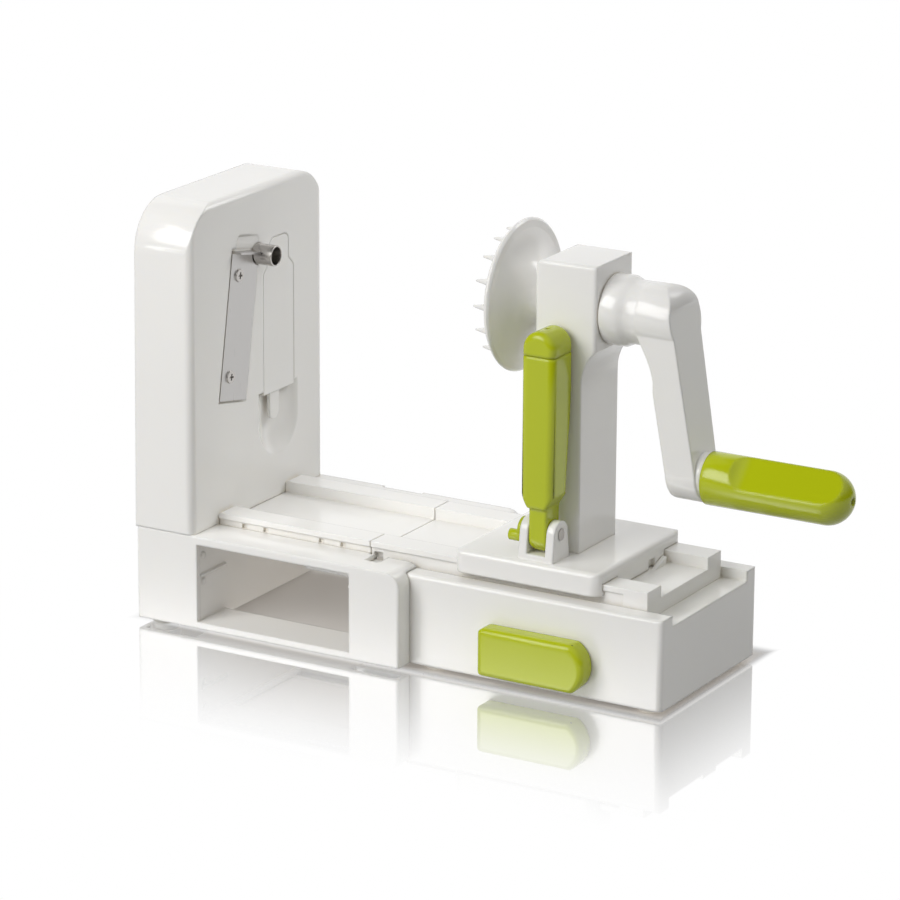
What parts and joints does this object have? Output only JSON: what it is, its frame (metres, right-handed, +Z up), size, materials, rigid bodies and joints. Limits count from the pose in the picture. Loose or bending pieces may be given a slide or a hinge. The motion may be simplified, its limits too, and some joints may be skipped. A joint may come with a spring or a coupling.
{
  "type": "hand cranked spiralizer",
  "caption": "Hand cranked spiralizer: an upright blade tower on a plug-together railed base, and a sliding carriage with crank, spiked holder disc and fold-out push lever.",
  "frame": {"origin": "on the table under the middle of the whole object, halfway between the tower's outer side and the end of the crank's grip, in the plane of the crank's axis", "axes": "+X along the rails from the blade tower to the crank, +Y to the rear, away from the side with the suction lever, +Z up"},
  "size_m": [0.3775, 0.1266, 0.228],
  "materials": {
    "white_shell": "glossy warm white moulding",
    "inner_plastic": "satin off-white moulding",
    "lime_plastic": "satin lime green moulding",
    "bright_steel": "fine brushed stainless steel",
    "plain_steel": "plain turned steel",
    "foot_rubber": "matte pale grey rubber"
  },
  "bodies": {
    "left_housing": {"base_sleeve": "white_shell", "tower_shell": "white_shell", "left_track": "white_shell", "straight_blade": "bright_steel", "coring_tube": "bright_steel", "blade_screws": "bright_steel", "tower_screws": "plain_steel", "left_feet": "foot_rubber"},
    "cutter_insert": {"blank_insert": "white_shell"},
    "rail_half": {"right_base": "white_shell", "right_track": "white_shell", "track_screws": "plain_steel", "right_feet": "foot_rubber", "suction_foot": "foot_rubber"},
    "release_catch": {"base_latch": "inner_plastic"},
    "suction_control": {"suction_lever": "lime_plastic", "cam_shaft": "inner_plastic"},
    "suction_stem": {"lift_yoke": "inner_plastic"},
    "carriage": {"carriage_plate": "white_shell", "column_shell": "white_shell", "column_screws": "plain_steel", "left_bush": "inner_plastic", "right_bush": "inner_plastic", "lever_pin": "bright_steel"},
    "fold_lever": {"push_lever": "lime_plastic", "lever_cap": "lime_plastic"},
    "fold_catch": {"lever_catch": "lime_plastic"},
    "crank": {"holder_disc": "white_shell", "drive_shaft": "plain_steel", "crank_arm": "white_shell", "grip_axle": "plain_steel", "grip_screw": "plain_steel"},
    "grip": {"hand_grip": "lime_plastic"}
  },
  "joints": [
    {"name": "insert_pull", "type": "slide", "parent": "left_housing", "child": "cutter_insert", "axis": [1, 0, 0], "range_m": [0, 0.015]},
    {"name": "base_pull", "type": "slide", "parent": "left_housing", "child": "rail_half", "axis": [1, 0, 0], "range_m": [0, 0.035]},
    {"name": "catch_press", "type": "slide", "parent": "rail_half", "child": "release_catch", "axis": [0, 0, -1], "range_m": [0, 0.002], "stiffness_N_per_m": 400, "springref_m": -0.001},
    {"name": "suction_turn", "type": "hinge", "parent": "rail_half", "child": "suction_control", "pos_m": [0.0623, 0, 0.0202], "axis": [0, 1, 0], "range_deg": [0, 90]},
    {"name": "stem_lift", "type": "slide", "parent": "rail_half", "child": "suction_stem", "axis": [0, 0, 1], "range_m": [0, 0.003]},
    {"name": "carriage_slide", "type": "slide", "parent": "rail_half", "child": "carriage", "axis": [1, 0, 0], "range_m": [-0.12, 0]},
    {"name": "lever_fold", "type": "hinge", "parent": "carriage", "child": "fold_lever", "pos_m": [0.03525, -0.0322, 0.0786], "axis": [1, 0, 0], "range_deg": [0, 90]},
    {"name": "catch_turn", "type": "hinge", "parent": "carriage", "child": "fold_catch", "pos_m": [0.03525, -0.0322, 0.0786], "axis": [1, 0, 0], "range_deg": [0, 60]},
    {"name": "crank_turn", "type": "hinge", "parent": "carriage", "child": "crank", "pos_m": [0.03865, 0, 0.1891], "axis": [1, 0, 0], "continuous": true},
    {"name": "grip_spin", "type": "hinge", "parent": "crank", "child": "grip", "pos_m": [0.1502, 0, 0.1103], "axis": [1, 0, 0], "continuous": true}
  ],
  "couplings": [
    {"joint": "stem_lift", "follows": "suction_turn", "m_per_rad": 0.0019}
  ]
}
